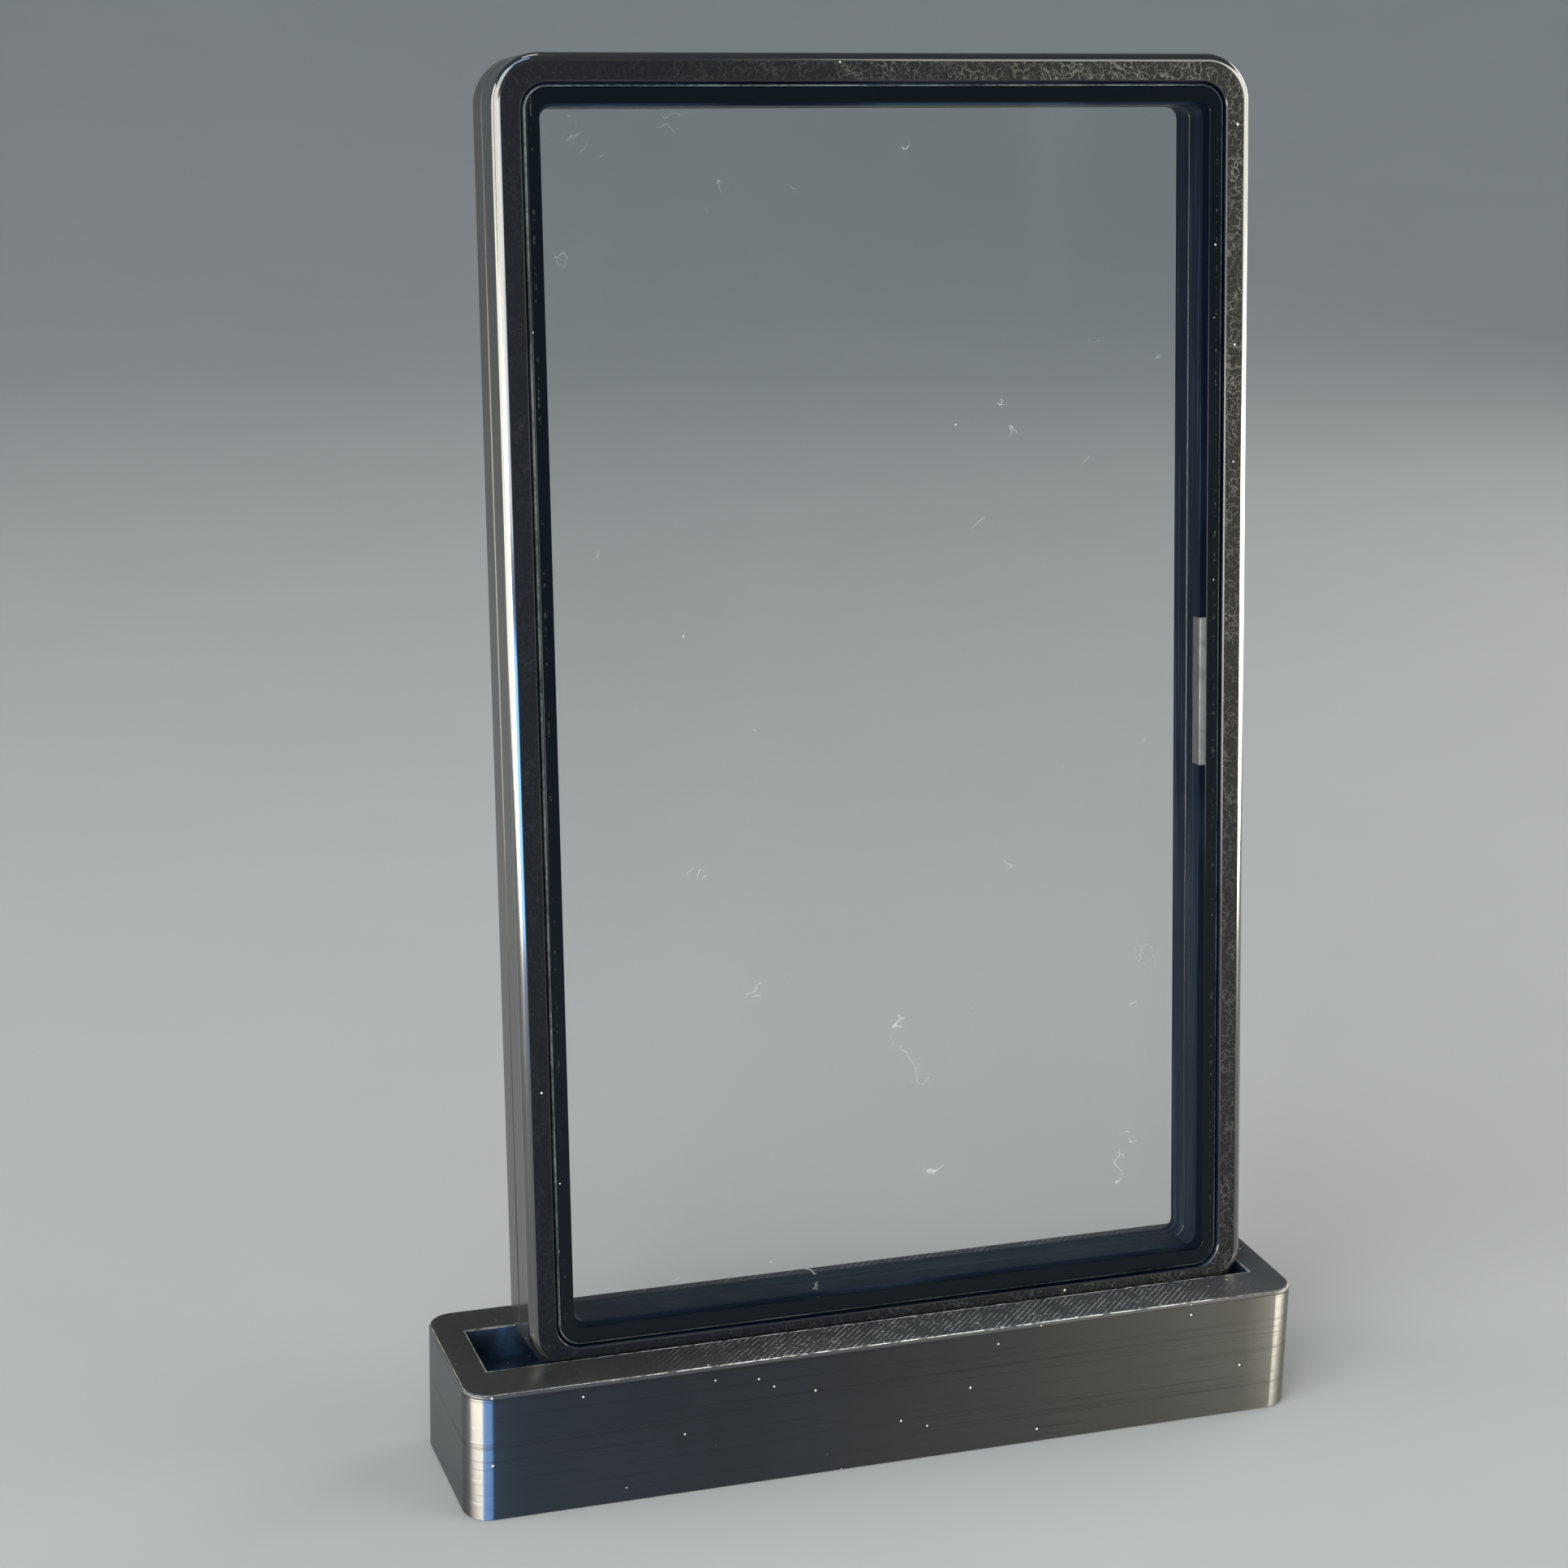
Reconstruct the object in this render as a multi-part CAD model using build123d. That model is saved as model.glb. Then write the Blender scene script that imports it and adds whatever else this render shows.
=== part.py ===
from build123d import *
import math
import os

os.makedirs("parts", exist_ok=True)

# Sizes are in millimetres. X runs along the stand, Y from front to back and Z up.
# The origin is the middle of the stand's underside.

# Pocket that holds the graded card between the panes
pocket_width = 80.8
pocket_height = 140.1
pocket_corner_radius = 1.5

# Frame round the pocket: a ledge that the pane lies on, then the rim
side_ledge_width = 2.4
end_ledge_width = 2.65
rim_width = 3.2
rim_edge_chamfer = 0.15
recess_corner_radius = 3.1
outer_corner_radius = 5.6
outer_edge_radius = 1.0
seam_chamfer = 0.25
front_half_depth = 5.1
rear_half_depth = 4.9

# Panes
pane_setback = 0.2
pane_thickness = 1.2
pane_gap = 0.35
pane_edge_chamfer = 0.2

# Black border film on the outer face of each pane
film_thickness = 0.1
film_edge_margin = 0.3
front_film_reveal = 0.25
rear_film_reveal = 0.6
window_corner_radius = 1.1

# Bar magnets half-way up the side walls
magnet_width = 1.4
magnet_depth = 2.0
magnet_length = 18.2
magnet_clearance = 0.04
rear_magnet_skin = 0.3

# Locating ribs on the rear half, and their grooves in the front half
rib_inset = 1.5
rib_width = 1.0
rib_height = 0.6
rib_length = 60.0
rib_clearance = 0.15
groove_run_out = 1.8

# Stand, and the play round the case in its slot. The slot tips back, and the case leans with it.
case_lean = 6.5
slot_depth = 2.25
slot_floor_height = 13.75
slot_left_gap = 5.45
slot_right_gap = 0.65
slot_front_gap = 0.8
slot_rear_gap = 0.15
stand_end_wall = 3.8
stand_front_wall = 6.2
stand_rear_wall = 5.7
stand_corner_radius = 3.2
stand_top_edge_radius = 0.5
stand_foot_chamfer = 0.3

case_width = pocket_width + 2 * (side_ledge_width + rim_width)
case_height = pocket_height + 2 * (end_ledge_width + rim_width)
case_depth = front_half_depth + rear_half_depth
recess_width = case_width - 2 * rim_width
recess_height = case_height - 2 * rim_width
ledge_y = pane_setback + pane_thickness
pane_width = recess_width - 2 * pane_gap
pane_height = recess_height - 2 * pane_gap
pane_corner_radius = recess_corner_radius - pane_gap

lean = math.radians(case_lean)
slot_length = case_width + slot_left_gap + slot_right_gap
slot_mouth = (case_depth + slot_front_gap + slot_rear_gap) / math.cos(lean)
stand_length = slot_length + 2 * stand_end_wall
stand_depth = stand_front_wall + slot_mouth + stand_rear_wall
stand_height = slot_floor_height + slot_depth

# Seat of the case: the middle of its front bottom edge, tipped back with the slot
case_shift_x = (slot_left_gap - slot_right_gap) / 2
slot_lip_y = stand_front_wall - stand_depth / 2
case_foot_y = slot_lip_y + slot_front_gap / math.cos(lean) - slot_depth * math.tan(lean)
seat = Pos(case_shift_x, case_foot_y, slot_floor_height) * Rot(-case_lean, 0, 0)
sides = {"left": -1, "right": 1}


def plate(width, height, radius, y_start, y_end):
    """Upright rounded plate from y_start to y_end, centred on the Y axis."""
    plane = Plane(origin=(0, y_start, 0), x_dir=(1, 0, 0), z_dir=(0, 1, 0))
    return extrude(plane * RectangleRounded(width, height, radius), amount=y_end - y_start)


def block(x_range, y_range, z_range):
    """Plain box between two corners."""
    size = [high - low for low, high in (x_range, y_range, z_range)]
    middle = [(high + low) / 2 for low, high in (x_range, y_range, z_range)]
    return Pos(*middle) * Box(*size)


def face_at(shape, y):
    """The flat face of a shape that lies at one depth."""
    return next(face for face in shape.faces().filter_by(Axis.Y) if abs(face.center().Y - y) < 1e-4)


def side_range(side, near, far):
    """Range of X on one side of the case, from two distances off the middle."""
    return sorted((side * near, side * far))


def magnet_box(side, skin, clearance):
    """Space of one bar magnet: it reaches outward from the pocket wall, behind the pane."""
    inner = pocket_width / 2 + skin
    x_range = side_range(side, max(inner - clearance, pocket_width / 2), inner + magnet_width + clearance)
    y_range = (ledge_y, ledge_y + magnet_depth + clearance)
    half = magnet_length / 2 + clearance
    return block(x_range, y_range, (-half, half))


def rib_box(side, y_range, clearance, run_out):
    """Space of one upright locating rib. The run-out lengthens its lower end."""
    outer = case_width / 2 - rib_inset
    x_range = side_range(side, outer - rib_width - clearance, outer + clearance)
    half = rib_length / 2 + clearance
    return block(x_range, y_range, (-half - run_out, half))


def half_frame(depth, magnet_skin):
    """One moulded half: outer face at Y 0, mating face at Y depth."""
    frame = plate(case_width, case_height, outer_corner_radius, 0, depth)
    frame = fillet(face_at(frame, 0).edges(), outer_edge_radius)
    frame = chamfer(face_at(frame, depth).edges(), seam_chamfer)
    frame -= plate(recess_width, recess_height, recess_corner_radius, 0, ledge_y)
    frame = chamfer(face_at(frame, 0).inner_wires()[0].edges(), rim_edge_chamfer)
    frame -= plate(pocket_width, pocket_height, pocket_corner_radius, 0, depth)
    for side in sides.values():
        frame -= magnet_box(side, magnet_skin, magnet_clearance)
    return frame


def front_frame():
    frame = half_frame(front_half_depth, 0)
    groove = (front_half_depth - rib_height - rib_clearance, front_half_depth)
    for side in sides.values():
        frame -= rib_box(side, groove, rib_clearance, groove_run_out)
    return frame


def rear_frame():
    frame = half_frame(rear_half_depth, rear_magnet_skin)
    for side in sides.values():
        frame += rib_box(side, (rear_half_depth, rear_half_depth + rib_height), 0, 0)
    return frame


def pane():
    """Clear pane with its outer edge bevelled."""
    sheet = plate(pane_width, pane_height, pane_corner_radius, pane_setback, ledge_y)
    return chamfer(face_at(sheet, pane_setback).edges(), pane_edge_chamfer)


def border_film(reveal):
    """Thin black border on the outer face of a pane. The reveal is how far its window clears the pocket."""
    width = pane_width - 2 * film_edge_margin
    height = pane_height - 2 * film_edge_margin
    radius = pane_corner_radius - film_edge_margin
    y_start = pane_setback - film_thickness
    film = plate(width, height, radius, y_start, pane_setback)
    window_width = pocket_width + 2 * reveal
    window_height = pocket_height + 2 * reveal
    return film - plate(window_width, window_height, window_corner_radius, y_start, pane_setback)


def stand():
    """Printed block with a shallow, tipped slot for the case."""
    outline = RectangleRounded(stand_length, stand_depth, stand_corner_radius)
    body = extrude(outline, amount=stand_height)
    body = chamfer(body.faces().sort_by(Axis.Z)[0].edges(), stand_foot_chamfer)
    body = fillet(body.faces().sort_by(Axis.Z)[-1].edges(), stand_top_edge_radius)
    slot = block(
        (-case_width / 2 - slot_left_gap, case_width / 2 + slot_right_gap),
        (-slot_front_gap, case_depth + slot_rear_gap),
        (0, 3 * slot_depth),
    )
    return body - seat * slot


def in_front(shape):
    """Put a piece of the front half in its place on the stand."""
    return seat * Pos(0, 0, case_height / 2) * shape


def in_rear(shape):
    """Put a piece of the rear half in its place, turned to face backwards."""
    return seat * Pos(0, case_depth, case_height / 2) * mirror(shape, Plane.XZ)


nodes = {
    "stand_base": stand(),
    "front_frame": in_front(front_frame()),
    "front_pane": in_front(pane()),
    "front_border": in_front(border_film(front_film_reveal)),
    "rear_frame": in_rear(rear_frame()),
    "rear_pane": in_rear(pane()),
    "rear_border": in_rear(border_film(rear_film_reveal)),
}
for name, side in sides.items():
    nodes[f"front_magnet_{name}"] = in_front(magnet_box(side, 0, 0))
    nodes[f"rear_magnet_{name}"] = in_rear(magnet_box(side, rear_magnet_skin, 0))

for node, shape in nodes.items():
    export_step(shape, f"parts/{node}.step")
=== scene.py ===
import math
import random

import bmesh
import bpy
from mathutils import Matrix, Vector, noise


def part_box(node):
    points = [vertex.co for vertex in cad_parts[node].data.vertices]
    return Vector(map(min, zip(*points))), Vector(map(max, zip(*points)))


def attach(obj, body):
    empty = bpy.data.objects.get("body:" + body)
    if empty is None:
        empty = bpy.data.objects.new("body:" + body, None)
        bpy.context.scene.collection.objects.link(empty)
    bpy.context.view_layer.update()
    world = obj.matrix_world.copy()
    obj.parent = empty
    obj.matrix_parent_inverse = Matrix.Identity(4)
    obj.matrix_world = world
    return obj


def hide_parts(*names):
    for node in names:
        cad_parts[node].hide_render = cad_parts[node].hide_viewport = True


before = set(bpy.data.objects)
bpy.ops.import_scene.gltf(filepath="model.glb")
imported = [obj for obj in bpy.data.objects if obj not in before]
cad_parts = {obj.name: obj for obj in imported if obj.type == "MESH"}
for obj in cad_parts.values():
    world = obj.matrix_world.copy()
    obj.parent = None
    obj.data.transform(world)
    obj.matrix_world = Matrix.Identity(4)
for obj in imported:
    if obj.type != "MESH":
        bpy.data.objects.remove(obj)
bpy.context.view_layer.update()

MM = 0.001

# Case
CASE_WIDTH = 92.0 * MM
CASE_HEIGHT = 151.8 * MM
CASE_DEPTH = 10.0 * MM
HALF_DEPTH = {"front": 5.1 * MM, "rear": 4.9 * MM}
OUTER_CORNER = 5.6 * MM
OUTER_EDGE = 1.0 * MM
RIM = 3.2 * MM
RIM_CHAMFER = 0.15 * MM
RECESS_CORNER = 3.1 * MM
SEAM_CHAMFER = 0.25 * MM
SEAM_BREAK = 0.1 * MM
EDGE_STEPS = 10
SIDE_LEDGE = 2.4 * MM
END_LEDGE = 2.65 * MM
POCKET_CORNER = 1.5 * MM
POCKET_WIDTH = CASE_WIDTH - 2 * (RIM + SIDE_LEDGE)
POCKET_HEIGHT = CASE_HEIGHT - 2 * (RIM + END_LEDGE)

# Panes and their border films
PANE_FACE = 0.2 * MM
LEDGE = 1.4 * MM
PANE_GAP = 0.35 * MM
PANE_BEVEL = 0.2 * MM
PANE_BACK_BREAK = 0.06 * MM
PANE_CORNER = RECESS_CORNER - PANE_GAP
PANE_WIDTH = CASE_WIDTH - 2 * (RIM + PANE_GAP)
PANE_HEIGHT = CASE_HEIGHT - 2 * (RIM + PANE_GAP)
FILM_FACE = 0.1 * MM
FILM_MARGIN = 0.3 * MM
FILM_BREAK = 0.04 * MM
GLUE_INSET = 1.15 * MM
FILM_REVEAL = {"front": 0.25 * MM, "rear": 0.6 * MM}
WINDOW_CORNER = 1.1 * MM

# Magnets, locating ribs and their grooves. A magnet's faces before MAGNET_END are its front end.
MAGNET_WIDTH = 1.4 * MM
MAGNET_DEPTH = 2.0 * MM
MAGNET_LENGTH = 18.2 * MM
MAGNET_SKIN = {"front": 0.0, "rear": 0.3 * MM}
MAGNET_PLAY = 0.04 * MM
MAGNET_BREAK = 0.12 * MM
MAGNET_END = LEDGE + 0.08 * MM
RIB_INSET = 1.5 * MM
RIB_WIDTH = 1.0 * MM
RIB_HEIGHT = 0.6 * MM
RIB_ROOT = 0.3 * MM
RIB_BREAK = 0.08 * MM
RIB_LENGTH = 60.0 * MM
RIB_CLEARANCE = 0.15 * MM
GROOVE_RUN_OUT = 1.8 * MM
GROOVE_OVERCUT = 0.2 * MM

# Stand
STAND_CORNER = 3.2 * MM
STAND_TOP_ROUND = 0.5 * MM
SLOT_LENGTH = 98.1 * MM
SLOT_FRONT = -0.8 * MM
SLOT_REAR = 10.15 * MM
SLOT_CORNER = 0.25 * MM
LIP_ROUNDING = ((0.26 * MM, 0.0), (0.03 * MM, 0.04 * MM), (0.0, 0.15 * MM))
STAND_CORNER_STEPS = 14
STAND_SPANS = 24
STAND_CRISP_ANGLE = 28
TOP_ROUND_STEPS = 8
TOP_SKIN_STEPS = 3

# Printed layers: their height, the depth of the gaps between them, the place of the crest
# in a layer, and how much crests and gaps vary
LAYER = 0.2 * MM
LAYER_RELIEF = 0.050 * MM
LAYER_CREST = 0.12
LAYER_WANDER = 0.001 * MM
DEEPEST_GAP = 0.08
RARE_GAP = 10
LAYER_SEED = 7

# The lowest layers are drawn in, and the edge that meets the floor ripples
FOOT_INSETS = (0.24 * MM, 0.05 * MM)
FOOT_RIPPLE = 0.10 * MM
RIPPLES_ALONG = 260
RIPPLES_UP = 2500

# The case leans back in its slot: the seat is the middle of its front bottom edge
LEAN = math.radians(6.5)
SEAT_PLACE = Vector((2.4, -4.7116, 13.75)) * MM
SEAT = Matrix.Translation(SEAT_PLACE) @ Matrix.Rotation(-LEAN, 4, "X")

# Steps of a rounded corner, and the angle past which an edge stays crisp
CORNER_STEPS = 20
CRISP_ANGLE = 30

# Material numbers: a half-frame's faces, then the stand's
ON_RIM, ON_SIDE, IN_POCKET, ON_EDGE = range(4)
ON_WALL, ON_TOP, IN_SLOT, WORN_AND_PAINTED_HIGHLIGHT_EDGE = range(4)


class Box:
    """The frame's box of a node, with its top corner and size."""

    def __init__(self, node):
        low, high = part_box(node)
        self.high = Vector(high)
        self.size = self.high - Vector(low)


# Mesh building

def rounded_loop(width, depth, radius, steps=CORNER_STEPS, spans=1):
    """Points of a rounded rectangle round the origin, with spans pieces on each straight side."""
    corners = ((1, -1), (1, 1), (-1, 1), (-1, -1))
    points = []
    for turn, (side_x, side_y) in enumerate(corners):
        middle_x = side_x * (width / 2 - radius)
        middle_y = side_y * (depth / 2 - radius)
        for step in range(steps + 1):
            angle = math.radians(90 * (turn - 1 + step / steps))
            x, y = middle_x + radius * math.cos(angle), middle_y + radius * math.sin(angle)
            points.append((x, y))
    loop = []
    for index, point in enumerate(points):
        loop.append(point)
        if index % (steps + 1) == steps:
            after = points[(index + 1) % len(points)]
            for span in range(1, spans):
                share = span / spans
                loop.append(tuple(a + (b - a) * share for a, b in zip(point, after)))
    return loop


def dress(mesh, materials):
    """Gives a mesh its materials, in the order of its faces' material numbers."""
    for material in materials:
        mesh.materials.append(material)


def add_piece(name, mesh, body, node):
    """Puts a finished mesh in the scene as the piece that stands for a node."""
    piece = bpy.data.objects.new(name, mesh)
    bpy.context.scene.collection.objects.link(piece)
    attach(piece, body)
    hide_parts(node)
    return piece


def smooth_mesh(mesh, angle=CRISP_ANGLE):
    """Smooth shading that stays crisp at edges sharper than the angle."""
    mesh.polygons.foreach_set("use_smooth", [True] * len(mesh.polygons))
    mesh.set_sharp_from_angle(angle=math.radians(angle))
    mesh.update()


def loft(rings, finishes, closed=False, caps=False):
    """A bmesh skin through rings of points. finishes has the material number of each band."""
    skin = bmesh.new()
    rows = [[skin.verts.new(point) for point in ring] for ring in rings]
    pairs = list(zip(rows, rows[1:]))
    if closed:
        pairs.append((rows[-1], rows[0]))
    for (lower, upper), finish in zip(pairs, finishes):
        count = len(lower)
        for i in range(count):
            j = (i + 1) % count
            face = skin.faces.new((lower[i], lower[j], upper[j], upper[i]))
            face.material_index = finish
    if caps:
        first = skin.faces.new(rows[0])
        first.material_index = finishes[0]
        last = skin.faces.new(rows[-1])
        last.material_index = finishes[-1]
    bmesh.ops.recalc_face_normals(skin, faces=skin.faces)
    return skin


def to_mesh(name, skin):
    """Turns a bmesh into mesh data and frees it."""
    mesh = bpy.data.meshes.new(name)
    skin.to_mesh(mesh)
    skin.free()
    return mesh


def block_mesh(name, low, high, bevel=0.0, segments=3):
    """A box between two corners, with its edges rounded."""
    skin = bmesh.new()
    bmesh.ops.create_cube(skin, size=1.0)
    size = Vector(high) - Vector(low)
    middle = (Vector(high) + Vector(low)) / 2
    place = Matrix.Translation(middle) @ Matrix.Diagonal((*size, 1))
    bmesh.ops.transform(skin, matrix=place, verts=skin.verts)
    if bevel:
        shape = {"offset": bevel, "segments": segments, "profile": 0.5, "affect": "EDGES"}
        bmesh.ops.bevel(skin, geom=skin.edges[:], **shape)
    return to_mesh(name, skin)


def cut_or_join(mesh, tools, operation, finish):
    """Cuts tools from a mesh or joins them to it. Their faces bring the material of one number."""
    work = bpy.data.objects.new("boolean_work", mesh)
    bpy.context.scene.collection.objects.link(work)
    helpers = []
    for tool in tools:
        dress(tool, mesh.materials)
        tool.polygons.foreach_set("material_index", [finish] * len(tool.polygons))
        helper = bpy.data.objects.new("boolean_tool", tool)
        bpy.context.scene.collection.objects.link(helper)
        helpers.append(helper)
        step = work.modifiers.new("boolean", "BOOLEAN")
        step.operation = operation
        step.solver = "EXACT"
        step.object = helper
    bpy.context.view_layer.update()
    solved = work.evaluated_get(bpy.context.evaluated_depsgraph_get())
    result = bpy.data.meshes.new_from_object(solved)
    for unused in helpers + [work]:
        bpy.data.objects.remove(unused)
    return result


# Shader building

class Link:
    """A shader socket that adds a Math node when it is used in an expression."""

    def __init__(self, shader, socket):
        self.shader = shader
        self.socket = socket

    def math(self, operation, first, second=0.0):
        return self.shader.add("ShaderNodeMath", {"operation": operation}, {0: first, 1: second})

    def __add__(self, other):
        return self.math("ADD", self, other)

    def __radd__(self, other):
        return self.math("ADD", other, self)

    def __sub__(self, other):
        return self.math("SUBTRACT", self, other)

    def __rsub__(self, other):
        return self.math("SUBTRACT", other, self)

    def __mul__(self, other):
        return self.math("MULTIPLY", self, other)

    def __pow__(self, other):
        return self.math("POWER", self, other)

    def above(self, edge):
        return self.math("GREATER_THAN", self, edge)

    def highest(self, other):
        return self.math("MAXIMUM", self, other)

    def wave(self):
        return self.math("SINE", self)

    def size(self):
        return self.math("ABSOLUTE", self)


class Shader:
    """A material's node tree, and short ways to the nodes that these finishes use."""

    def __init__(self, name):
        self.material = bpy.data.materials.new(name)
        self.material.use_nodes = True
        self.tree = self.material.node_tree
        self.tree.nodes.clear()
        self.place = self.add("ShaderNodeTexCoord", {}, {}, "Object")

    def add(self, kind, settings, inputs, output=0):
        """Adds a node of one kind: its settings first, then the values or links of its sockets."""
        node = self.tree.nodes.new(kind)
        for name, value in settings.items():
            setattr(node, name, value)
        for name, value in inputs.items():
            if isinstance(value, Link):
                self.tree.links.new(value.socket, node.inputs[name])
            else:
                node.inputs[name].default_value = value
        return Link(self, node.outputs[output]) if len(node.outputs) else None

    def stretched(self, x=1.0, y=1.0, z=1.0, turn=0.0, place=None):
        """The object's coordinates or a place, turned about Z and stretched along each axis."""
        inputs = {"Vector": place or self.place, "Scale": (x, y, z), "Rotation": (0, 0, turn)}
        return self.add("ShaderNodeMapping", {}, inputs)

    def upright(self):
        """The object's coordinates, turned so that the case doesn't lean in them."""
        return self.add("ShaderNodeMapping", {}, {"Vector": self.place, "Rotation": (LEAN, 0, 0)})

    def parts(self):
        """X, Y and Z of a point on the object."""
        split = self.tree.nodes.new("ShaderNodeSeparateXYZ")
        self.tree.links.new(self.place.socket, split.inputs[0])
        return [Link(self, output) for output in split.outputs]

    def noise(self, size, detail=3.0, rough=0.55, place=None):
        """Cloudy noise with features of about one size, from 0 to 1."""
        inputs = {"Vector": place or self.place, "Scale": 1.0 / size}
        inputs.update({"Detail": detail, "Roughness": rough})
        return self.add("ShaderNodeTexNoise", {}, inputs)

    def specks(self, spacing, radius, share, place=None):
        """Round specks: 1 inside, on a share of the cells of a loose grid."""
        inputs = {"Vector": place or self.place, "Scale": 1.0 / spacing, "Randomness": 1.0}
        distance = self.add("ShaderNodeTexVoronoi", {}, inputs, "Distance")
        cell_colour = Link(self, distance.socket.node.outputs["Color"])
        near = 1.0 - distance.above(radius / spacing)
        pick = self.add("ShaderNodeSeparateColor", {}, {"Color": cell_colour})
        return near * (1.0 - pick.above(share))

    def ramp(self, value, low, high):
        """0 below low, 1 above high, and smooth between."""
        settings = {"interpolation_type": "SMOOTHSTEP"}
        inputs = {"Value": value, "From Min": low, "From Max": high}
        return self.add("ShaderNodeMapRange", settings, inputs)

    def blend(self, share, first, second):
        """Mixes two colours."""
        inputs = {0: share, 6: self.colour(first), 7: self.colour(second)}
        return self.add("ShaderNodeMix", {"data_type": "RGBA"}, inputs, 2)

    def colour(self, value):
        """A linked colour as it is, or three plain numbers with full alpha."""
        return value if isinstance(value, Link) else (*value, 1.0)

    def bump(self, height, distance, strength):
        """A normal bent by a height from 0 to 1 over a distance."""
        inputs = {"Height": height, "Distance": distance, "Strength": strength}
        return self.add("ShaderNodeBump", {}, inputs)

    def principled(self, colour, rough, normal=None, **extras):
        """Finishes the material as a Principled surface. Underscores in extras stand for spaces."""
        inputs = {"Base Color": self.colour(colour), "Roughness": rough}
        if normal:
            inputs["Normal"] = normal
        inputs.update({name.replace("_", " "): value for name, value in extras.items()})
        return self.finish(self.add("ShaderNodeBsdfPrincipled", {}, inputs))

    def finish(self, surface):
        """Gives the material its surface, and returns it."""
        self.add("ShaderNodeOutputMaterial", {}, {"Surface": surface})
        return self.material


# Finishes

CASE_BLACK = (0.012, 0.013, 0.016)
DUST = (0.55, 0.54, 0.5)

# Share of the light that a pane mirrors face on. It mirrors all of it at a grazing angle.
PANE_SHEEN = 0.021


def textured_rim_finish():
    """Black moulding with a crisp, worm-like grain on the rim, palest at its top right by painted
    light.
    """
    s = Shader("case_rim_textured")
    place = s.upright()
    x, _, z = s.parts()
    coarse = s.noise(1.0 * MM, 2.0, 0.5, place)
    fine = s.noise(0.6 * MM, 1.0, 0.5, place)
    grain = s.noise(0.11 * MM, 2.0, 0.6, place)
    patches = s.ramp(s.noise(2.6 * MM, 3.0, 0.6, place), 0.34, 0.62)
    coarse_worms = 1.0 - s.ramp((coarse - 0.5).size(), 0.006, 0.04)
    fine_worms = 1.0 - s.ramp((fine - 0.5).size(), 0.005, 0.035)
    worms = coarse_worms.highest(fine_worms * 0.6)
    # Painted light: the grain and the base colour are lit towards the top right and stay navy-black
    # towards the bottom left.
    rub_and_painted_light = s.ramp(x, -30 * MM, 34 * MM) * (0.35 + s.ramp(z, 60 * MM, 160 * MM) * 0.65)
    light = worms * (0.25 + patches * 0.75) * (0.08 + rub_and_painted_light * 0.92)
    dust = s.specks(1.6 * MM, 0.14 * MM, 0.16, place)
    base = s.blend(rub_and_painted_light, (0.0022, 0.0030, 0.0048), (0.0072, 0.0069, 0.0060))
    colour = s.blend(light, base, (0.082, 0.078, 0.069))
    colour = s.blend(dust * 0.8, colour, DUST)
    rough = 0.42 + grain * 0.16 - worms * 0.08
    normal = s.bump(worms * 0.75 + grain * 0.25, 0.015 * MM, 0.6)
    return s.principled(colour, rough, normal, Specular_IOR_Level=0.10)


def satin_side_finish():
    """Smooth black moulding with faint lines that run round the case."""
    s = Shader("case_side_satin")
    streaks = s.noise(1.0, 2.0, 0.5, s.stretched(60, 5200, 60, place=s.upright()))
    cloud = s.noise(9 * MM, 3.0)
    grain = s.noise(0.12 * MM, 2.0)
    dust = s.specks(5.5 * MM, 0.12 * MM, 0.12)
    colour = s.blend(s.ramp(streaks, 0.35, 0.7), CASE_BLACK, (0.022, 0.021, 0.019))
    colour = s.blend(dust * 0.6, colour, DUST)
    rough = 0.17 + streaks * 0.05 + cloud * 0.05
    normal = s.bump(streaks * 0.6 + grain * 0.4, 0.004 * MM, 0.5)
    coat = {"Coat_Weight": 0.18, "Coat_Roughness": 0.1}
    return s.principled(colour, rough, normal, Specular_IOR_Level=0.25, **coat)


def polished_round_finish():
    """The case's outer rounding, which is smoother and catches the light along its whole length."""
    s = Shader("case_round_polished")
    cloud = s.noise(7 * MM, 2.0)
    grain = s.noise(0.15 * MM, 2.0)
    dust = s.specks(6.0 * MM, 0.11 * MM, 0.1)
    colour = s.blend(cloud, (0.003, 0.004, 0.006), (0.008, 0.008, 0.008))
    colour = s.blend(dust * 0.6, colour, DUST)
    rough = 0.12 + cloud * 0.06
    normal = s.bump(grain, 0.002 * MM, 0.4)
    coat = {"Coat_Weight": 1.0, "Coat_IOR": 1.8, "Coat_Roughness": 0.06}
    return s.principled(colour, rough, normal, Specular_IOR_Level=1.0, **coat)


def pocket_wall_finish():
    """Smooth dark walls inside the case, with faint lines and a little dust."""
    s = Shader("case_pocket_wall")
    streaks = s.noise(1.0, 2.0, 0.5, s.stretched(30, 2400, 30, place=s.upright()))
    cloud = s.noise(12 * MM, 2.0)
    dust = s.specks(4.5 * MM, 0.11 * MM, 0.1)
    colour = s.blend(s.ramp(streaks, 0.52, 0.70), (0.0020, 0.0048, 0.012), (0.017, 0.029, 0.050))
    colour = s.blend(dust * 0.6, colour, DUST)
    rough = 0.3 + cloud * 0.1
    normal = s.bump(streaks, 0.01 * MM, 0.5)
    return s.principled(colour, rough, normal, Specular_IOR_Level=0.05)


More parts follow.
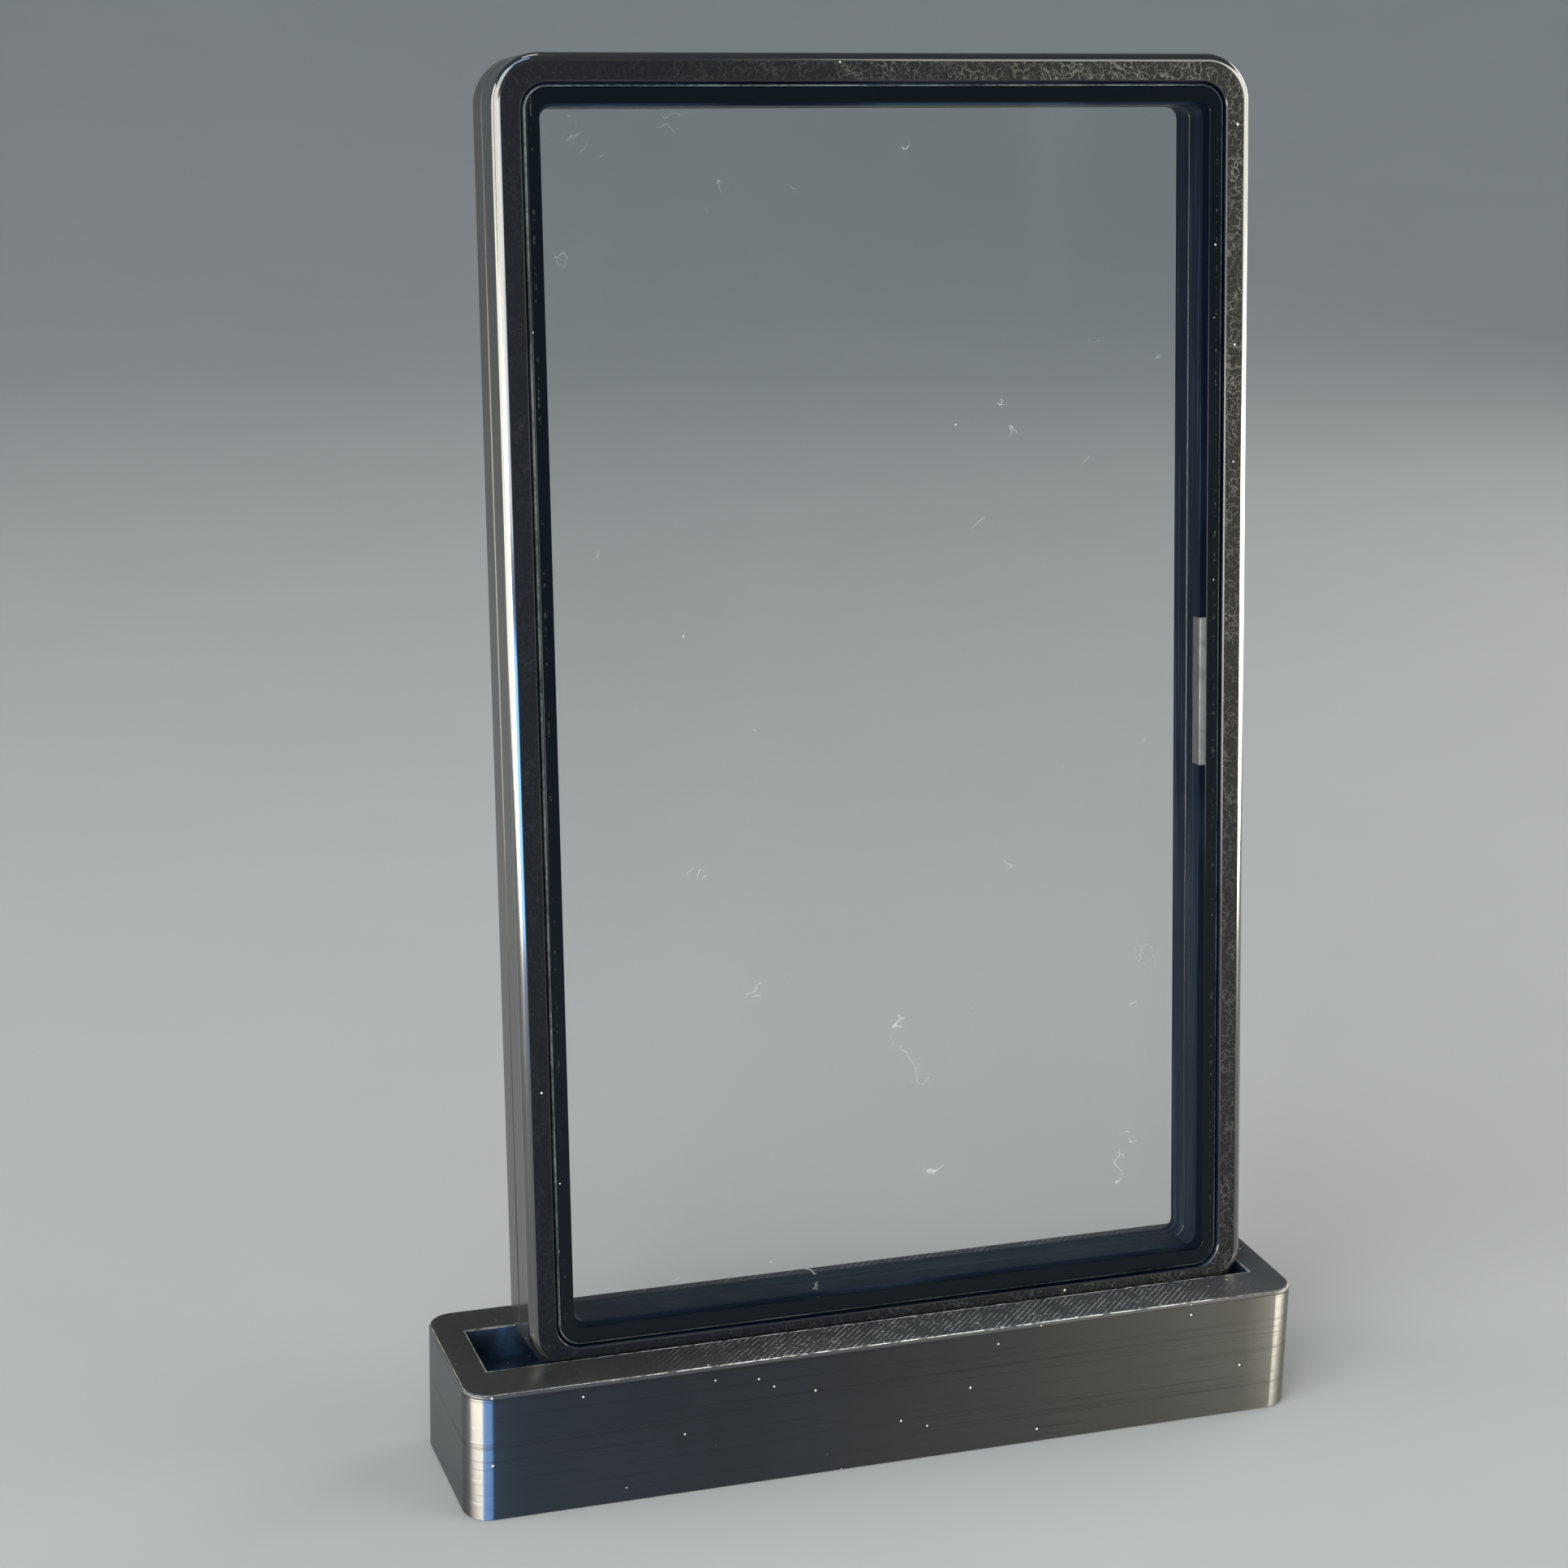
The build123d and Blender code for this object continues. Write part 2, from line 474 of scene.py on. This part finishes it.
def film_finish():
    """Gloss black border film, with dust and a broken line of glue near the pane's edge."""
    s = Shader("border_film_gloss")
    cloud = s.noise(14 * MM, 3.0)
    ripple = s.noise(0.9 * MM, 2.0)
    dust = s.specks(1.9 * MM, 0.12 * MM, 0.24)
    x = s.parts()[0]
    off_line = ((x - SEAT_PLACE.x).size() - (CASE_WIDTH / 2 - RIM - GLUE_INSET)).size()
    line = 1.0 - s.ramp(off_line, 0.05 * MM, 0.16 * MM)
    dashes = s.ramp(s.noise(0.9 * MM, 4.0, 0.7), 0.56, 0.64)
    glue = line * dashes
    colour = s.blend(glue * 0.035, (0.002, 0.0035, 0.005), DUST)
    colour = s.blend(dust * 0.6, colour, DUST)
    rough = 0.08 + cloud * 0.08 + dust * 0.5 + glue * 0.3
    normal = s.bump(ripple, 0.003 * MM, 0.4)
    return s.principled(colour, rough, normal, Specular_IOR_Level=0.13)


def clear_pane_finish():
    """Clear sheet: it shows what is behind, with a sheen, finger smears, lint and dust."""
    s = Shader("pane_clear")
    smear_place = s.stretched(1.0, 1.0, 0.45, 0.4)
    smears = s.ramp(s.noise(22 * MM, 4.0, 0.6, smear_place), 0.5, 0.78)
    ridges = s.noise(0.7 * MM, 2.0, 0.5, smear_place)
    haze = smears * ridges
    dust = s.specks(7.0 * MM, 0.13 * MM, 0.16)
    curls = (s.noise(2.6 * MM, 1.0, 0.4) - 0.5).size()
    threads = (1.0 - s.ramp(curls, 0.004, 0.014)) * s.ramp(s.noise(6 * MM, 0.0), 0.80, 0.83)
    clear = s.add("ShaderNodeBsdfTransparent", {}, {"Color": (0.975, 0.98, 0.98, 1.0)})
    mirrored = {"Color": (0.42, 0.48, 0.56, 1.0), "Roughness": 0.03 + haze * 0.22}
    gloss = s.add("ShaderNodeBsdfGlossy", {}, mirrored)
    grazing = s.add("ShaderNodeLayerWeight", {}, {"Blend": 0.5}, 1)
    sheen = PANE_SHEEN + grazing ** 5 * (1 - PANE_SHEEN)
    glazed = s.add("ShaderNodeMixShader", {}, {0: sheen, 1: clear, 2: gloss})
    veil = s.add("ShaderNodeBsdfDiffuse", {}, {"Color": (0.8, 0.82, 0.82, 1.0)})
    cover = haze * 0.02 + (dust * 0.85).highest(threads * 0.45)
    return s.finish(s.add("ShaderNodeMixShader", {}, {0: cover, 1: glazed, 2: veil}))


def pane_edge_finish():
    """Cut and bevelled edge of the clear sheet, pale in runs by frosting and a painted highlight.
    """
    s = Shader("pane_edge_bevelled")
    marks = s.noise(0.6 * MM, 3.0)
    runs = s.noise(7 * MM, 2.0)
    # Painted highlight: the pale runs stand for light that the edge catches, on top of its frosted
    # look.
    frost_and_painted_highlight = s.ramp(marks * 0.4 + runs * 0.6, 0.35, 0.65)
    colour = s.blend(frost_and_painted_highlight, (0.035, 0.042, 0.048), (0.19, 0.21, 0.22))
    rough = 0.12 + marks * 0.2
    normal = s.bump(marks, 0.006 * MM, 0.4)
    return s.principled(colour, rough, normal, Specular_IOR_Level=0.8)


def magnet_finish(name, base, stained):
    """Satin nickel plating, dulled and lightly scratched."""
    s = Shader(name)
    brushed = s.noise(1.0, 3.0, 0.6, s.stretched(2500, 2500, 160, place=s.upright()))
    cloud = s.noise(2.5 * MM, 4.0, 0.6)
    stain = s.ramp(cloud, 0.45, 0.7)
    colour = s.blend(stain, base, stained)
    rough = 0.32 + brushed * 0.14 + stain * 0.1
    normal = s.bump(brushed, 0.008 * MM, 0.5)
    return s.principled(colour, rough, normal, Metallic=0.3)


def printed_wall_finish():
    """Printed black plastic on the stand's upright faces, with painted light that turns it browner
    towards the right end.
    """
    s = Shader("stand_printed_wall")
    x, _, z = s.parts()
    layers = s.noise(1.0, 2.0, 0.6, s.stretched(7, 7, 2400))
    cloud = s.noise(16 * MM, 3.0, 0.6)
    ghosts = s.noise(1.0, 2.0, 0.5, s.stretched(420, 420, 14))
    grain = s.noise(0.3 * MM, 2.0)
    gaps = s.ramp(layers + cloud * 0.35, 0.76, 0.82)
    dust = s.specks(1.8 * MM, 0.14 * MM, 0.26)
    # Painted light: the wall goes from navy-black at its left end to lit brown-grey at its right
    # end.
    wear_and_painted_light = s.ramp(x, -30 * MM, 50 * MM)
    pale = s.blend(wear_and_painted_light, (0.0030, 0.0048, 0.0080), (0.0150, 0.0138, 0.0112))
    deep = s.blend(wear_and_painted_light, (0.0018, 0.0030, 0.0052), (0.0105, 0.0096, 0.0078))
    colour = s.blend(s.ramp(layers * 0.7 + ghosts * 0.3, 0.3, 0.7), deep, pale)
    colour = s.blend(gaps * 0.85, colour, (0.002, 0.002, 0.002))
    colour = s.blend(dust * 0.8, colour, DUST)
    edge = s.ramp(z, 15.45 * MM, 15.6 * MM)
    rough = 0.2 + cloud * 0.08 + edge * 0.22
    normal = s.bump(layers * 0.1 + ghosts * 0.2 + grain * 0.5, 0.002 * MM, 0.3)
    coat = {"Coat_Weight": 0.36 - gaps * 0.36, "Coat_Roughness": 0.12}
    return s.principled(colour, rough, normal, Specular_IOR_Level=0.68, **coat)


def printed_top_finish():
    """Top skin of the print: smooth at both ends, with slanting lines and scuffs between."""
    s = Shader("stand_printed_top")
    x, y, _ = s.parts()
    wander = s.noise(1.2 * MM, 3.0, 0.6)
    diagonal = ((x - y) * (math.tau / (0.9 * MM)) + wander * 3.6).wave()
    reach = x + s.noise(9 * MM, 2.0) * (24 * MM)
    along = s.ramp(reach, -20 * MM, -2 * MM) * (1.0 - s.ramp(reach, 50 * MM, 58 * MM))
    patches = s.ramp(s.noise(5 * MM, 3.0, 0.6), 0.36, 0.6)
    broken = s.ramp(s.noise(1.5 * MM, 3.0, 0.65), 0.42, 0.60)
    lines = s.ramp(diagonal, 0.55, 0.98) * along * (0.10 + broken * 0.90)
    scuff_place = s.stretched(1.0, 2.2, 1.0, 0.8)
    scuffs = s.ramp(s.noise(0.8 * MM, 4.0, 0.7, scuff_place), 0.57, 0.68) * (0.12 + along * 0.88)
    dust = s.specks(1.5 * MM, 0.13 * MM, 0.22)
    wear = (lines * 0.6).highest(scuffs * patches)
    colour = s.blend(s.ramp(x, -45 * MM, 20 * MM), (0.020, 0.020, 0.019), (0.032, 0.034, 0.037))
    colour = s.blend(wear, colour, (0.30, 0.30, 0.295))
    colour = s.blend(dust * 0.8, colour, DUST)
    rough = 0.36 + patches * 0.12
    normal = s.bump(lines * 0.6 + wander * 0.25, 0.02 * MM, 0.7)
    return s.principled(colour, rough, normal, Specular_IOR_Level=0.35)


def worn_and_painted_highlight_edge_finish():
    """Rubbed edge of the print, round its top and along the slot's lips, paler by wear and by a
    painted highlight.
    """
    s = Shader("stand_worn_and_painted_highlight_edge")
    x = s.parts()[0]
    along = s.ramp(x, -42 * MM, -24 * MM) * (1.0 - s.ramp(x, 40 * MM, 46 * MM))
    rub_and_painted_light = s.ramp(s.noise(1.4 * MM, 4.0, 0.65), 0.36, 0.6) * (0.25 + along * 0.75)
    grain = s.noise(0.15 * MM, 2.0)
    # The pale colour is partly rubbed wear and partly a painted highlight along the edge's
    # rounding.
    colour = s.blend(rub_and_painted_light, (0.05, 0.05, 0.048), (0.62, 0.61, 0.59))
    rough = 0.3 + grain * 0.15
    return s.principled(colour, rough, s.bump(grain, 0.01 * MM, 0.6))


def slot_finish():
    """Inside of the slot, dark blue-black with specks of dust."""
    s = Shader("stand_slot_inside")
    cloud = s.noise(4 * MM, 4.0, 0.65)
    layers = s.noise(1.0, 2.0, 0.5, s.stretched(12, 12, 2600))
    dust = s.specks(1.1 * MM, 0.13 * MM, 0.3)
    colour = s.blend(s.ramp(cloud, 0.42, 0.72), (0.006, 0.012, 0.024), (0.018, 0.042, 0.085))
    colour = s.blend(dust * 0.5, colour, DUST)
    rough = 0.34 + cloud * 0.1
    normal = s.bump(layers * 0.6 + cloud * 0.4, 0.015 * MM, 0.5)
    return s.principled(colour, rough, normal, Specular_IOR_Level=0.35)


# Case: each half is made lying on its own outer face, at depth 0, and is then put in its place

def half_place(half):
    """The matrix that puts a half in its place: the rear half is the mirror image, at the back."""
    middle = CASE_HEIGHT / 2
    if half == "front":
        return SEAT @ Matrix.Translation((0, 0, middle))
    return SEAT @ Matrix.Translation((0, CASE_DEPTH, middle)) @ Matrix.Scale(-1, 4, (0, 1, 0))


def set_in_place(mesh, half):
    """Moves a half's mesh from where it is made to its place."""
    mesh.transform(half_place(half))
    if half == "rear":
        mesh.flip_normals()


def upright_ring(width, height, radius, depth):
    """A rounded ring that stands across the case at one depth."""
    return [(x, depth, z) for x, z in rounded_loop(width, height, radius)]


def case_ring(inset_side, inset_end, radius, depth):
    """A ring round the case, drawn in from its sides and its ends."""
    width = CASE_WIDTH - 2 * inset_side
    height = CASE_HEIGHT - 2 * inset_end
    return upright_ring(width, height, radius, depth)


def half_frame_mesh(half):
    """Skin of one half-frame, from its seam round the rim to the pocket and back."""
    seam = HALF_DEPTH[half]
    rings = [(0, 0, OUTER_CORNER, seam - SEAM_CHAMFER)]
    finishes = [ON_SIDE]
    for step in range(EDGE_STEPS + 1):
        angle = math.radians(90 * step / EDGE_STEPS)
        inset = OUTER_EDGE * (1 - math.cos(angle))
        rings.append((inset, inset, OUTER_CORNER - inset, OUTER_EDGE * (1 - math.sin(angle))))
        finishes.append(ON_EDGE)
    finishes[-1] = ON_RIM
    rings.append((RIM - RIM_CHAMFER, RIM - RIM_CHAMFER, RECESS_CORNER + RIM_CHAMFER, 0))
    rings.append((RIM, RIM, RECESS_CORNER, RIM_CHAMFER))
    rings.append((RIM, RIM, RECESS_CORNER, LEDGE))
    side, end = RIM + SIDE_LEDGE, RIM + END_LEDGE
    rings.append((side, end, POCKET_CORNER, LEDGE))
    rings.append((side, end, POCKET_CORNER, seam - SEAM_BREAK))
    rings.append((side - SEAM_BREAK, end - SEAM_BREAK, POCKET_CORNER + SEAM_BREAK, seam))
    rings.append((SEAM_CHAMFER, SEAM_CHAMFER, OUTER_CORNER - SEAM_CHAMFER, seam))
    finishes += [ON_SIDE, IN_POCKET, IN_POCKET, IN_POCKET, ON_SIDE, ON_SIDE, ON_SIDE]
    skin = loft([case_ring(*ring) for ring in rings], finishes, closed=True)
    return to_mesh(f"{half}_frame_shell", skin)


def rib_mesh(side, root, tip, clearance, run_out, bevel):
    """A locating rib beside the pocket, or the space of its groove."""
    outer = side * (CASE_WIDTH / 2 - RIB_INSET + clearance)
    inner = side * (CASE_WIDTH / 2 - RIB_INSET - RIB_WIDTH - clearance)
    half = RIB_LENGTH / 2 + clearance
    low = (min(outer, inner), root, -half - run_out)
    high = (max(outer, inner), tip, half)
    return block_mesh("rib", low, high, bevel, segments=2)


def magnet_mesh(half, side, play, bevel):
    """A bar magnet, or the slot that it lies in."""
    inner = POCKET_WIDTH / 2 + MAGNET_SKIN[half]
    near = inner - play
    far = inner + MAGNET_WIDTH + play
    middle = MAGNET_LENGTH / 2 + play
    low = (min(side * near, side * far), LEDGE - play, -middle)
    high = (max(side * near, side * far), LEDGE + MAGNET_DEPTH + play, middle)
    return block_mesh("magnet_bar", low, high, bevel)


SIDES = {"left": -1, "right": 1}


def build_half(half, materials):
    """The frame of one half with its pane, border film and magnets."""
    body = f"{half}_half"
    seam = HALF_DEPTH[half]
    mesh = half_frame_mesh(half)
    dress(mesh, [materials["rim"], materials["side"], materials["pocket"], materials["round"]])
    slots = [magnet_mesh(half, side, MAGNET_PLAY, 0.0) for side in SIDES.values()]
    if half == "front":
        root, tip = seam - RIB_HEIGHT - RIB_CLEARANCE, seam + GROOVE_OVERCUT
        for side in SIDES.values():
            slots.append(rib_mesh(side, root, tip, RIB_CLEARANCE, GROOVE_RUN_OUT, 0.0))
    mesh = cut_or_join(mesh, slots, "DIFFERENCE", IN_POCKET)
    if half == "rear":
        root, tip = seam - RIB_ROOT, seam + RIB_HEIGHT
        ribs = [rib_mesh(side, root, tip, 0, 0, RIB_BREAK) for side in SIDES.values()]
        mesh = cut_or_join(mesh, ribs, "UNION", ON_SIDE)
    set_in_place(mesh, half)
    smooth_mesh(mesh)
    shell = add_piece(f"{half}_frame_shell", mesh, body, f"{half}_frame")
    shell.modifiers.new("even_normals", "WEIGHTED_NORMAL").keep_sharp = True

    build_pane(half, materials, body)
    build_film(half, materials, body)
    for name, side in SIDES.items():
        bar = magnet_mesh(half, side, 0.0, MAGNET_BREAK)
        dress(bar, [materials["magnet"], materials["magnet_end"]])
        for face in bar.polygons:
            face.material_index = int(face.center.y < MAGNET_END)
        set_in_place(bar, half)
        smooth_mesh(bar)
        node = f"{half}_magnet_{name}"
        add_piece(f"{node}_bar", bar, body, node)


def build_pane(half, materials, body):
    """Clear sheet with a bevelled front edge."""

    def ring(inset, depth):
        width, height = PANE_WIDTH - 2 * inset, PANE_HEIGHT - 2 * inset
        return upright_ring(width, height, PANE_CORNER - inset, depth)

    rings = [
        ring(PANE_BEVEL, PANE_FACE),
        ring(0, PANE_FACE + PANE_BEVEL),
        ring(0, LEDGE - PANE_BACK_BREAK),
        ring(PANE_BACK_BREAK, LEDGE),
    ]
    skin = loft(rings, [1, 1, 1], caps=True)
    for face in skin.faces:
        if len(face.verts) > 4:
            face.material_index = 0
    mesh = to_mesh(f"{half}_pane_sheet", skin)
    set_in_place(mesh, half)
    smooth_mesh(mesh)
    dress(mesh, [materials["pane"], materials["pane_edge"]])
    add_piece(f"{half}_pane_sheet", mesh, body, f"{half}_pane")


def build_film(half, materials, body):
    """Thin black border on the face of the pane."""
    corner = PANE_CORNER - FILM_MARGIN
    soft = FILM_BREAK
    outside = (PANE_WIDTH - 2 * FILM_MARGIN, PANE_HEIGHT - 2 * FILM_MARGIN)
    window = (POCKET_WIDTH + 2 * FILM_REVEAL[half], POCKET_HEIGHT + 2 * FILM_REVEAL[half])

    def ring(size, grow, radius, depth):
        return upright_ring(size[0] + 2 * grow, size[1] + 2 * grow, radius + grow, depth)

    rings = [
        ring(outside, 0, corner, PANE_FACE),
        ring(outside, 0, corner, FILM_FACE + soft),
        ring(outside, -soft, corner, FILM_FACE),
        ring(window, soft, WINDOW_CORNER, FILM_FACE),
        ring(window, 0, WINDOW_CORNER, FILM_FACE + soft),
        ring(window, 0, WINDOW_CORNER, PANE_FACE),
    ]
    mesh = to_mesh(f"{half}_border_film", loft(rings, [0] * len(rings), closed=True))
    set_in_place(mesh, half)
    smooth_mesh(mesh)
    dress(mesh, [materials["film"]])
    add_piece(f"{half}_border_film", mesh, body, f"{half}_border")


# Stand

def slot_ring(grow, height):
    """A ring round the tipped slot, at one height, or on the slot's own floor for None."""
    width = SLOT_LENGTH + 2 * grow
    gap = SLOT_REAR - SLOT_FRONT + 2 * grow
    middle = (SLOT_FRONT + SLOT_REAR) / 2
    ring = []
    for x, y in rounded_loop(width, gap, SLOT_CORNER, STAND_CORNER_STEPS, STAND_SPANS):
        reach = y + middle
        up = 0.0
        if height is not None:
            up = (height - SEAT_PLACE.z + reach * math.sin(LEAN)) / math.cos(LEAN)
        point = SEAT @ Vector((0, reach, up))
        ring.append((x, point.y, point.z))
    return ring


def build_stand(materials):
    """Printed block: each layer is a shallow ridge round the walls, and the top edge is rounded."""
    block = Box("stand_base")
    top = block.high.z
    luck = random.Random(LAYER_SEED)

    def outer(inset, z, ripple=0.0):
        length, depth = block.size.x - 2 * inset, block.size.y - 2 * inset
        corner = STAND_CORNER - inset
        ring = []
        for x, y in rounded_loop(length, depth, corner, STAND_CORNER_STEPS, STAND_SPANS):
            spot = Vector((x * RIPPLES_ALONG, y * RIPPLES_ALONG, z * RIPPLES_UP))
            drift = ripple * max(noise.noise(spot), 0)
            ring.append((x - math.copysign(drift, x), y - math.copysign(drift, y), z))
        return ring

    rings = []
    for layer in range(int((top - STAND_TOP_ROUND) / LAYER)):
        base = layer * LAYER
        foot = FOOT_INSETS[layer] if layer < len(FOOT_INSETS) else 0.0
        valley = foot + LAYER_RELIEF * (1.0 + DEEPEST_GAP * luck.random() ** RARE_GAP)
        crest = foot + LAYER_WANDER * luck.random()
        if layer == 0:
            rings.append(outer(valley, base, FOOT_RIPPLE))
        rings.append(outer(crest, base + LAYER_CREST * LAYER))
        rings.append(outer(valley, base + LAYER))
    wall_rings = len(rings)
    for step in range(TOP_ROUND_STEPS + 1):
        angle = math.radians(90 * step / TOP_ROUND_STEPS)
        inset = STAND_TOP_ROUND * (1 - math.cos(angle))
        rings.append(outer(inset, top - STAND_TOP_ROUND * (1 - math.sin(angle))))
    finishes = [ON_WALL] * (wall_rings + TOP_ROUND_STEPS - TOP_SKIN_STEPS - 1)
    finishes += [WORN_AND_PAINTED_HIGHLIGHT_EDGE] + [ON_TOP] * TOP_SKIN_STEPS
    rings += [slot_ring(grow, top - drop) for grow, drop in LIP_ROUNDING]
    rings.append(slot_ring(0, None))
    finishes += [ON_TOP, WORN_AND_PAINTED_HIGHLIGHT_EDGE, WORN_AND_PAINTED_HIGHLIGHT_EDGE, IN_SLOT]
    mesh = to_mesh("stand_block", loft(rings, finishes, caps=True))
    smooth_mesh(mesh, STAND_CRISP_ANGLE)
    dress(mesh, [materials["wall"], materials["top"], materials["slot"], materials["wear_and_painted_light"]])
    add_piece("stand_block", mesh, "stand", "stand_base")


# Surroundings, in metres: the floor's radii and the height of its upturned edge

FLOOR_HUB = 0.02
FLOOR_FLAT = 0.85
FLOOR_BEND = 1.5
FLOOR_TOP = 1.9
FLOOR_SIDES = 96


def build_floor():
    """Pale floor that curves up all round, so that no horizon shows."""
    s = Shader("floor_pale")
    cloud = s.noise(60 * MM, 3.0)
    colour = s.blend(cloud, (0.46, 0.46, 0.455), (0.49, 0.49, 0.485))
    material = s.principled(colour, 0.8, Specular_IOR_Level=0.2)
    profile = [(FLOOR_HUB, 0.0), (FLOOR_FLAT, 0.0)]
    for degrees in range(5, 91, 5):
        angle = math.radians(degrees)
        radius = FLOOR_FLAT + FLOOR_BEND * math.sin(angle)
        profile.append((radius, FLOOR_BEND * (1 - math.cos(angle))))
    profile.append((FLOOR_FLAT + FLOOR_BEND, FLOOR_TOP))
    turns = [math.tau * step / FLOOR_SIDES for step in range(FLOOR_SIDES)]
    rings = []
    for radius, height in profile:
        rings.append([(radius * math.cos(turn), radius * math.sin(turn), height) for turn in turns])
    skin = loft(rings, [0] * (len(rings) - 1))
    skin.faces.new(list(skin.verts)[:FLOOR_SIDES])
    bmesh.ops.recalc_face_normals(skin, faces=skin.faces)
    mesh = to_mesh("floor", skin)
    smooth_mesh(mesh)
    mesh.materials.append(material)
    floor = bpy.data.objects.new("floor", mesh)
    bpy.context.scene.collection.objects.link(floor)


# Colours of the sky and the lamps
SKY = (0.78, 0.89, 1.0)
SKY_STRENGTH = 0.13
CREAM = (1.0, 0.94, 0.78)
WARM_WHITE = (1.0, 0.97, 0.88)
COOL_WHITE = (0.86, 0.95, 1.0)
PALE_BLUE = (0.90, 0.97, 1.0)
SKY_BLUE = (0.45, 0.72, 1.0)
DEEP_BLUE = (0.20, 0.48, 1.0)
SOFT_WHITE = (1.0, 0.97, 0.92)

# Upright panels that face the object: name, azimuth in degrees from +X towards +Y, distance,
# foot, top, width, radiance and colour
PANELS = (
    ("panel_left", 206, 0.48, 0.0, 0.14, 0.42, 13.5, CREAM),
    ("panel_left_rear", 160, 0.48, 0.0, 0.14, 0.36, 3.5, CREAM),
    ("panel_left_tall", 213, 0.85, 0.14, 0.60, 0.80, 3.4, WARM_WHITE),
    ("panel_left_tall_rear", 165, 0.85, 0.14, 0.60, 0.44, 3.4, WARM_WHITE),
    ("panel_left_high", 213, 0.85, 0.59, 1.50, 0.80, 2.6, COOL_WHITE),
    ("panel_left_sky", 240, 0.85, 1.50, 2.80, 1.20, 2.2, SKY_BLUE),
    ("panel_front_left", 250, 0.62, 0.12, 0.30, 0.36, 3.4, PALE_BLUE),
    ("panel_front_blue", 247, 0.58, 0.0, 0.09, 0.44, 8.0, DEEP_BLUE),
    ("panel_right", -30, 0.48, 0.0, 0.14, 0.44, 12.5, CREAM),
    ("panel_right_rear", 16, 0.50, 0.0, 0.14, 0.36, 3.5, CREAM),
    ("panel_right_tall", -28, 0.85, 0.14, 0.60, 0.80, 3.4, WARM_WHITE),
    ("panel_right_tall_rear", 22, 0.85, 0.14, 0.60, 0.44, 3.0, WARM_WHITE),
    ("panel_front_high", 301, 1.0, 0.40, 0.80, 0.32, 1.6, SOFT_WHITE),
)

TOP_LAMP_SIZE = 0.35
TOP_LAMP_POWER = 0.9
TOP_LAMP_PLACE = (0.0, 0.10, 1.15)


def add_lamp(name, lamp):
    """Puts a lamp in the scene, out of the camera's sight."""
    holder = bpy.data.objects.new(name, lamp)
    holder.visible_camera = False
    bpy.context.scene.collection.objects.link(holder)
    return holder


def soft_light(spared, name, azimuth, distance, low, high, width, radiance, colour):
    """One upright panel. A panel that stands on the floor spares the floor and the panes,
    which would burn out near it."""
    lamp = bpy.data.lights.new(name, "AREA")
    lamp.shape = "RECTANGLE"
    lamp.size, lamp.size_y = width, high - low
    lamp.energy = radiance * 4 * width * (high - low)
    lamp.color = colour
    holder = add_lamp(name, lamp)
    angle = math.radians(azimuth)
    holder.location = (distance * math.cos(angle), distance * math.sin(angle), (low + high) / 2)
    holder.rotation_euler = (math.radians(90), 0, angle + math.radians(90))
    if low == 0:
        holder.light_linking.receiver_collection = spared


def spare_collection():
    """The floor and the panes, as pieces that a low panel doesn't light."""
    spared = bpy.data.collections.new("spared_by_low_panels")
    for name in ("floor", "front_pane_sheet", "rear_pane_sheet"):
        spared.objects.link(bpy.data.objects[name])
    for entry in spared.collection_objects:
        entry.light_linking.link_state = "EXCLUDE"
    return spared


def build_light():
    """A dim sky, the upright panels and a lamp above."""
    world = bpy.data.worlds.new("studio")
    world.use_nodes = True
    sky = world.node_tree.nodes["Background"]
    sky.inputs["Color"].default_value = (*SKY, 1.0)
    sky.inputs["Strength"].default_value = SKY_STRENGTH
    bpy.context.scene.world = world
    spared = spare_collection()
    for panel in PANELS:
        soft_light(spared, *panel)
    lamp = bpy.data.lights.new("lamp_top", "AREA")
    lamp.size = TOP_LAMP_SIZE
    lamp.energy = TOP_LAMP_POWER
    add_lamp("lamp_top", lamp).location = TOP_LAMP_PLACE
    bpy.context.scene.view_settings.view_transform = "Standard"


# Camera, as the photo was taken: angles are in degrees, and PHOTO_SIDE is in pixels

PHOTO_SIDE = 1932
FOCAL_PIXELS = 3905.186
CAMERA_PLACE = Vector((-127.182, -332.342, 183.769)) * MM
CAMERA_YAW = 19.066
CAMERA_PITCH = 16.02
CAMERA_ROLL = 1.216
SENSOR_WIDTH = 36.0
CLIP_START = 0.01


def build_camera():
    """The photo's camera, turned by its yaw, pitch and roll."""
    lens = bpy.data.cameras.new("photo_camera")
    lens.sensor_width = SENSOR_WIDTH
    lens.lens = FOCAL_PIXELS * SENSOR_WIDTH / PHOTO_SIDE
    lens.clip_start = CLIP_START
    camera = bpy.data.objects.new("photo_camera", lens)
    yaw, pitch, roll = (math.radians(angle) for angle in (CAMERA_YAW, CAMERA_PITCH, CAMERA_ROLL))
    flat = math.cos(pitch)
    forward = Vector((math.sin(yaw) * flat, math.cos(yaw) * flat, -math.sin(pitch)))
    level = Vector((math.cos(yaw), -math.sin(yaw), 0))
    above = level.cross(forward)
    right = level * math.cos(roll) + above * math.sin(roll)
    up = above * math.cos(roll) - level * math.sin(roll)
    turn = Matrix((right, up, -forward)).transposed()
    camera.matrix_world = Matrix.Translation(CAMERA_PLACE) @ turn.to_4x4()
    bpy.context.scene.collection.objects.link(camera)
    bpy.context.scene.camera = camera


materials = {
    "rim": textured_rim_finish(),
    "side": satin_side_finish(),
    "round": polished_round_finish(),
    "pocket": pocket_wall_finish(),
    "film": film_finish(),
    "pane": clear_pane_finish(),
    "pane_edge": pane_edge_finish(),
    "magnet": magnet_finish("magnet_nickel_satin", (0.078, 0.076, 0.072), (0.050, 0.050, 0.048)),
    "magnet_end": magnet_finish("magnet_nickel_ground", (0.26, 0.26, 0.25), (0.17, 0.17, 0.16)),
    "wall": printed_wall_finish(),
    "top": printed_top_finish(),
    "slot": slot_finish(),
    "wear_and_painted_light": worn_and_painted_highlight_edge_finish(),
}
for half in HALF_DEPTH:
    build_half(half, materials)
build_stand(materials)
build_floor()
build_light()
build_camera()
